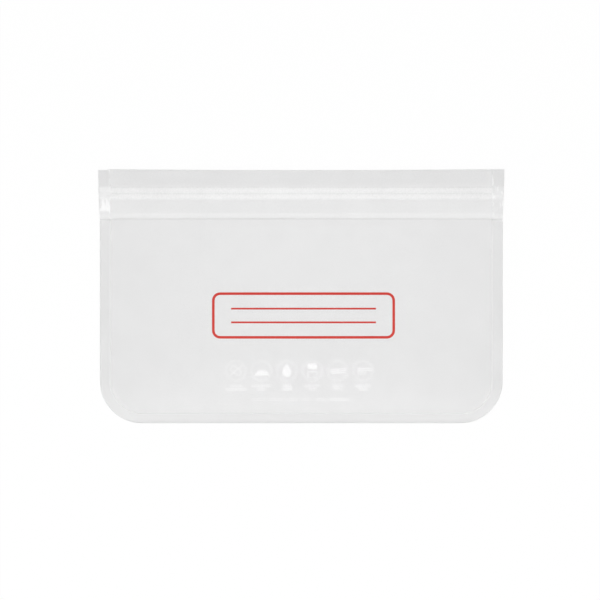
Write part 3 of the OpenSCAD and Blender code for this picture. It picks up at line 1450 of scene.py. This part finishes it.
@dataclass
class Prints(SubAssembly):
    """White care signs on the back film and a red write-on label on the front one, in millimetres.

    A word is drawn as a pair of strokes, and a ring as a pair of lines, which blur into one behind the
    frosted film. Their places are drops below the signs' middle.
    """

    films: FilmBody
    white: InkFinish = InkFinish("white_ink", grey(1.0), mottle=0.01)
    red: InkFinish = InkFinish("red_ink", (0.62, 0.03, 0.018))
    faint: InkFinish = InkFinish("faint_white_ink", grey(0.98), mottle=0.01)
    first: tuple[float, float] = (-32.75, -37.35)
    pitch: float = 12.75
    rings: tuple[float, float] = (5.45, 4.75)
    ring_stroke: float = 0.24
    word_stroke: float = 0.48
    upper_words: tuple[float, float] = (7.2, 8.0)
    lower_words: tuple[float, float] = (8.85, 9.65)
    line_stroke: float = 0.38
    line_words: tuple[float, float] = (14.0, 14.8)
    label_middle: tuple[float, float] = (1.1, -9.6)
    label: Piece | None = None

    def lay_on(self, piece: Piece, film: Piece) -> None:
        """Drops a flat print onto a film and gives it the thickness of ink.

        Args:
            piece: The flat print.
            film: The film that it is printed on.
        """
        over_all = 30.0 * MM
        reshape(piece, lambda co: (co.x, co.y, over_all))
        apply_modifier(
            piece,
            "SHRINKWRAP",
            target=film,
            wrap_method="PROJECT",
            use_project_z=True,
            use_positive_direction=False,
            use_negative_direction=True,
        )
        reshape(piece, lambda co: (co.x, co.y, co.z + INK_T))
        apply_modifier(piece, "SOLIDIFY", thickness=INK_T, offset=1.0)

    def figure(self, figures: FlatShapes, lines: FlatShapes, kind: Sign, x: float, y: float) -> None:
        """Draws the figure of one sign.

        Args:
            figures: The print of full shapes.
            lines: The print of faint lines.
            kind: Which figure.
            x: Place of the sign's middle.
            y: Place of the sign's middle.
        """
        if kind is Sign.CROSSED:
            lines.bar((9.4, 0.5), x, y, turn=40.0)
            lines.bar((6.0, 3.2), x, y, turn=-35.0, round_r=0.8, stroke=0.45)
        elif kind is Sign.MOUND:
            base, squash = y - 2.4, 0.8
            mound = figures.disc(3.6, x + 0.4, base)
            reshape(mound, lambda co: (co.x, base * MM + squash * max(co.y - base * MM, 0.0), co.z))
        elif kind is Sign.DROP:
            base, radius, narrowing, stretch = y - 0.8, 2.2, 0.3, 1.8
            drop = figures.disc(radius, x, base)

            def pull(co: Vector) -> Triple:
                """Draws the upper half out to a tip.

                Args:
                    co: The point on the disc.

                Returns:
                    Its new place.
                """
                share = ease((co.y - base * MM) / (radius * MM))
                narrow = (co.x - x * MM) * (1.0 - narrowing * share)
                return x * MM + narrow, co.y + stretch * MM * share, co.z

            reshape(drop, pull)
        elif kind is Sign.BOX:
            figures.bar((4.8, 3.0), x, y + 2.3, round_r=0.9)
            lines.bar((5.0, 3.4), x, y - 1.9, round_r=0.4, stroke=0.5)
        elif kind is Sign.BAR:
            for rise in (0.85, -0.1, -1.05):
                figures.bar((7.8, 0.58), x + 0.2, y + rise, turn=4.0)
        elif kind is Sign.TAP:
            for rise in (1.2, 0.25):
                figures.bar((8.0, 0.58), x + 1.2, y + rise)
            for rise in (-0.7, -1.6):
                figures.bar((4.0, 0.4), x - 0.8, y + rise)

    def build_signs(self) -> None:
        """Prints the row of signs and the line under it on the back film's inner face."""
        figures, lines = FlatShapes("sign_figures"), FlatShapes("sign_lines")
        x, y = self.first
        for kind in Sign:
            self.figure(figures, lines, kind, x, y)
            for radius in self.rings:
                lines.disc(radius, x, y, self.ring_stroke)
            for width, drops in zip(kind.value, (self.upper_words, self.lower_words)):
                for drop in drops:
                    lines.bar((width, self.word_stroke), x, y - drop)
            x += self.pitch
        words = ((-21.8, 7.2), (-12.4, 6.4), (-5.1, 6.6), (2.4, 4.4), (9.6, 5.0), (19.1, 9.7))
        for middle, width in words:
            for drop in self.line_words:
                lines.bar((width, self.line_stroke), middle, y - drop)
        for ink, finish in ((figures, self.white), (lines, self.faint)):
            piece = ink.join()
            self.lay_on(piece, self.films.back)
            self.seat(piece, finish.build())

    def build_label(self) -> None:
        """Prints a framed label with ruled lines on the outside of the front film."""
        ink = FlatShapes("write_on_label")
        x, y = self.label_middle
        ink.bar((91.0, 23.0), x, y, round_r=4.0, stroke=1.3)
        for rise in (3.4, -3.4):
            ink.bar((72.0, 0.9), x, y + rise)
        self.label = ink.join()
        self.lay_on(self.label, self.films.front)
        self.seat(self.label, self.red.build(), bows=True)

    def build(self) -> None:
        """Prints everything."""
        self.build_signs()
        self.build_label()


@dataclass
class Studio:
    """Floor, soft light and the camera straight above the bag."""

    target: Vector
    reach: float = 833.33 * MM
    floor_drop: float = 0.3 * MM
    floor_white: float = 0.96
    sky: float = 0.55

    @staticmethod
    def put(name: str, data: bpy.types.ID, place: Vector) -> Piece:
        """Adds a camera or lamp to the scene.

        Args:
            name: Name of the object.
            data: The camera or lamp.
            place: Where it stands.

        Returns:
            The new object.
        """
        thing = bpy.data.objects.new(name, data)
        bpy.context.collection.objects.link(thing)
        thing.location = place
        return thing

    def camera(self) -> None:
        """Looks straight down with the mouth at the top of the picture."""
        data = bpy.data.cameras.new("camera")
        data.lens = 100.0
        data.sensor_width = 36.0
        data.clip_start = 0.01
        data.clip_end = 20.0
        bpy.context.scene.camera = self.put("camera", data, self.target + Vector((0.0, 0.0, self.reach)))

    def white_share(self, nodes: Nodes, most: float) -> Socket:
        """Share of the plain white that camera, gloss and see-through rays meet.

        Args:
            nodes: The tree to add to.
            most: The share for those rays.

        Returns:
            An output that is most for those rays and 0 for the rest.
        """
        rays = nodes.add("ShaderNodeLightPath").outputs
        either = nodes.math("MAXIMUM", rays["Is Camera Ray"], rays["Is Glossy Ray"])
        return nodes.math("MULTIPLY", nodes.math("MAXIMUM", either, rays["Is Transmission Ray"]), most)

    def floor(self) -> None:
        """Adds a plain white floor that still takes the bag's shadow."""
        clear_selection()
        bpy.ops.mesh.primitive_plane_add(size=8.0, location=(0.0, 0.0, -self.floor_drop))
        plane = rename(bpy.context.object, "floor")
        material = bpy.data.materials.new("floor_white")
        material.use_nodes = True
        nodes = Nodes(material.node_tree)
        material.node_tree.nodes.clear()
        paint = nodes.add("ShaderNodeBsdfDiffuse", Color=(*grey(0.97), 1.0))
        white = nodes.add("ShaderNodeEmission", Color=WHITE, Strength=1.0)
        mix = nodes.add("ShaderNodeMixShader", Fac=self.white_share(nodes, self.floor_white))
        nodes.feed(mix.inputs[1], paint.outputs[0])
        nodes.feed(mix.inputs[2], white.outputs[0])
        nodes.add("ShaderNodeOutputMaterial", Surface=mix.outputs[0])
        plane.data.materials.append(material)
        plane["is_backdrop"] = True

    def light(self) -> None:
        """Adds a soft sky and two broad lamps from the foot of the bag, the left one stronger."""
        world = bpy.data.worlds.new("studio")
        bpy.context.scene.world = world
        world.use_nodes = True
        nodes = Nodes(world.node_tree)
        background = world.node_tree.nodes["Background"]
        level = nodes.span(self.white_share(nodes, 1.0), 0.0, 1.0, To_Min=self.sky)
        nodes.feed(background.inputs["Strength"], level)
        nodes.feed(background.inputs["Color"], WHITE)
        for name, x, power in (("key", -0.75, 7.5), ("fill", 0.75, 6.5)):
            data = bpy.data.lights.new(name, "AREA")
            data.shape = "SQUARE"
            data.size = 0.9
            data.energy = power
            place = Vector((x, -0.65, 1.05))
            lamp = self.put(name, data, place)
            lamp.rotation_mode = "QUATERNION"
            lamp.rotation_quaternion = (-place).to_track_quat("-Z", "Y")

    def build(self) -> None:
        """Sets the stage."""
        self.camera()
        self.floor()
        self.light()
        bpy.context.scene.view_settings.view_transform = "Standard"


def main() -> None:
    """Builds the bag and its stage."""
    logging.basicConfig(level=logging.INFO, format="%(name)s: %(message)s")
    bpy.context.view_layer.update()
    sizes = BagSizes.from_frame()
    Studio(Vector((-0.65 * MM, -1.9 * MM, sizes.z_out))).build()
    films = FilmBody(sizes)
    films.build()
    ZipStrip(sizes).build()
    ZipEnd(
        sizes,
        "left_weld",
        side=-1,
        seed=17.0,
        pale=(1.15, 1.12, 1.145, 1.08),
        ragged=0.35,
        glint_patch=(43.2 * MM, 48.2 * MM),
        fray=0.15,
        cut=0.45 * MM,
    ).build()
    ZipEnd(
        sizes,
        "right_weld",
        side=1,
        seed=11.0,
        pale=(1.075, 1.09, 1.115, 1.06),
        ragged=0.6,
        glint_patch=(43.0 * MM, 55.0 * MM),
    ).build()
    prints = Prints(sizes, films)
    prints.build()
    films.declare([prints.label])
    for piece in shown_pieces():
        log.info("%s: %d faces", piece.name, len(piece.data.polygons))


if __name__ == "__main__":
    main()
